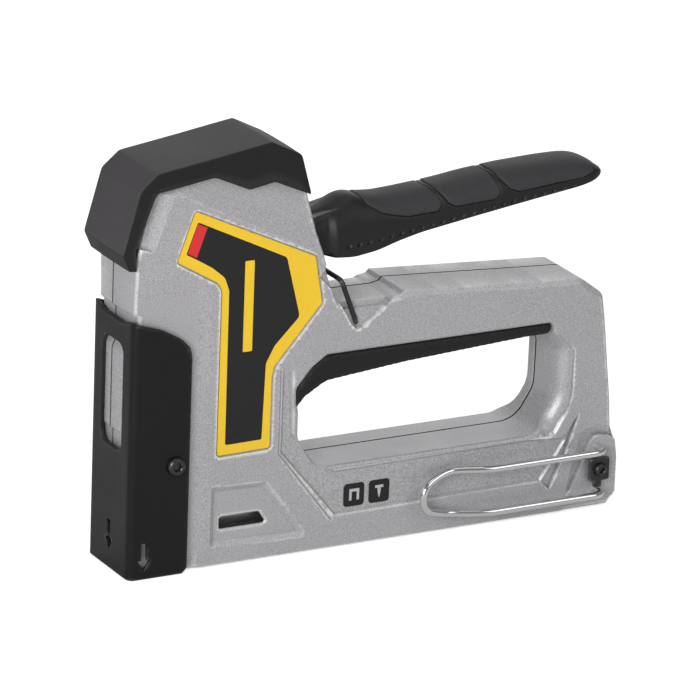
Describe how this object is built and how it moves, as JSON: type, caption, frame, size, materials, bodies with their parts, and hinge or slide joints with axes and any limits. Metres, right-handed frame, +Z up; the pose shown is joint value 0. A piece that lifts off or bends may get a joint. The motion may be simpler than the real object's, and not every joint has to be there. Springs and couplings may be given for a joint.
{
  "type": "staple gun",
  "caption": "Hand staple gun with a die-cast casing, a squeeze lever, a rear-loading magazine, a belt hook and a lock bail.",
  "frame": {"origin": "on the surface the nose stands on, at mid-width, at the front face of the nose cover", "axes": "+X from the nose to the tail, +Z up from the nose's foot to the cap, the tool's left side (with the belt hook) faces -Y"},
  "size_m": [0.2211, 0.0441, 0.1695],
  "materials": {
    "casting": "fine sandblasted silver lacquer on die-cast alloy",
    "cap_rubber": "matte moulded black rubber",
    "black_steel": "satin black powder coat",
    "dark_screw": "black oxide",
    "zinc_steel": "zinc plated",
    "spring_steel": "drawn steel wire",
    "label": "printed film in yellow and black",
    "icon_print": "printed black with plain pictograms",
    "grip_rubber": "soft black rubber",
    "lever_plastic": "fine-grained black nylon",
    "latch_plastic": "moulded black nylon",
    "black_wire": "black phosphate wire",
    "chrome_wire": "bright chrome wire"
  },
  "bodies": {
    "casing": {"left_housing": "casting", "right_cover": "casting", "top_cap": "cap_rubber", "nose_cover": "black_steel", "nose_screws": "dark_screw", "body_screws": "zinc_steel", "locating_pins": "zinc_steel", "decal_left": "label", "decal_right": "label", "icon_plates": "icon_print", "grip_insert": "grip_rubber", "lever_pivot_pin": "zinc_steel", "return_spring": "spring_steel", "main_spring": "spring_steel", "spring_seat": "zinc_steel", "bumper": "cap_rubber", "magazine_channel": "zinc_steel", "belt_hook": "chrome_wire", "hook_clip": "black_steel", "hook_screw": "dark_screw"},
    "lever": {"lever_core": "black_steel", "lever_grip": "lever_plastic", "lever_pad_front": "grip_rubber", "lever_pad_mid": "grip_rubber", "lever_pad_rear": "grip_rubber", "grip_rivets": "zinc_steel", "lift_rollers": "zinc_steel", "roller_pins": "zinc_steel"},
    "striker": {"plunger": "zinc_steel", "driver_blade": "spring_steel", "blade_rivets": "zinc_steel"},
    "magazine": {"magazine_rail": "zinc_steel", "magazine_end_cap": "lever_plastic", "follower_rod": "zinc_steel", "follower_spring": "spring_steel", "latch_pin": "zinc_steel", "latch_spring": "spring_steel"},
    "pusher": {"follower": "zinc_steel"},
    "latch": {"latch_button": "latch_plastic"},
    "bail": {"lock_bail": "black_wire"}
  },
  "joints": [
    {"name": "lever_squeeze", "type": "hinge", "parent": "casing", "child": "lever", "pos_m": [0.072, 0, 0.126], "axis": [0, 1, 0], "range_deg": [0, 15], "stiffness_Nm_per_rad": 20, "springref_deg": -6.88, "deforming": ["return_spring"]},
    {"name": "striker_lift", "type": "slide", "parent": "casing", "child": "striker", "axis": [0, 0, 1], "range_m": [0, 0.0135], "deforming": ["main_spring"]},
    {"name": "magazine_slide", "type": "slide", "parent": "casing", "child": "magazine", "axis": [1, 0, 0], "range_m": [0, 0.12]},
    {"name": "pusher_slide", "type": "slide", "parent": "magazine", "child": "pusher", "axis": [1, 0, 0], "range_m": [0, 0.145], "stiffness_N_per_m": 60, "springref_m": -0.04, "deforming": ["follower_spring"]},
    {"name": "latch_press", "type": "hinge", "parent": "magazine", "child": "latch", "pos_m": [0.2105, 0, 0.008], "axis": [0, -1, 0], "range_deg": [0, 8], "stiffness_Nm_per_rad": 0.2, "springref_deg": -5.73, "deforming": ["latch_spring"]},
    {"name": "bail_swing", "type": "hinge", "parent": "casing", "child": "bail", "pos_m": [0.0978, 0, 0.0906], "axis": [0, 1, 0], "range_deg": [0, 66]}
  ],
  "couplings": [
    {"joint": "striker_lift", "follows": "lever_squeeze", "m_per_rad": 0.0485}
  ]
}
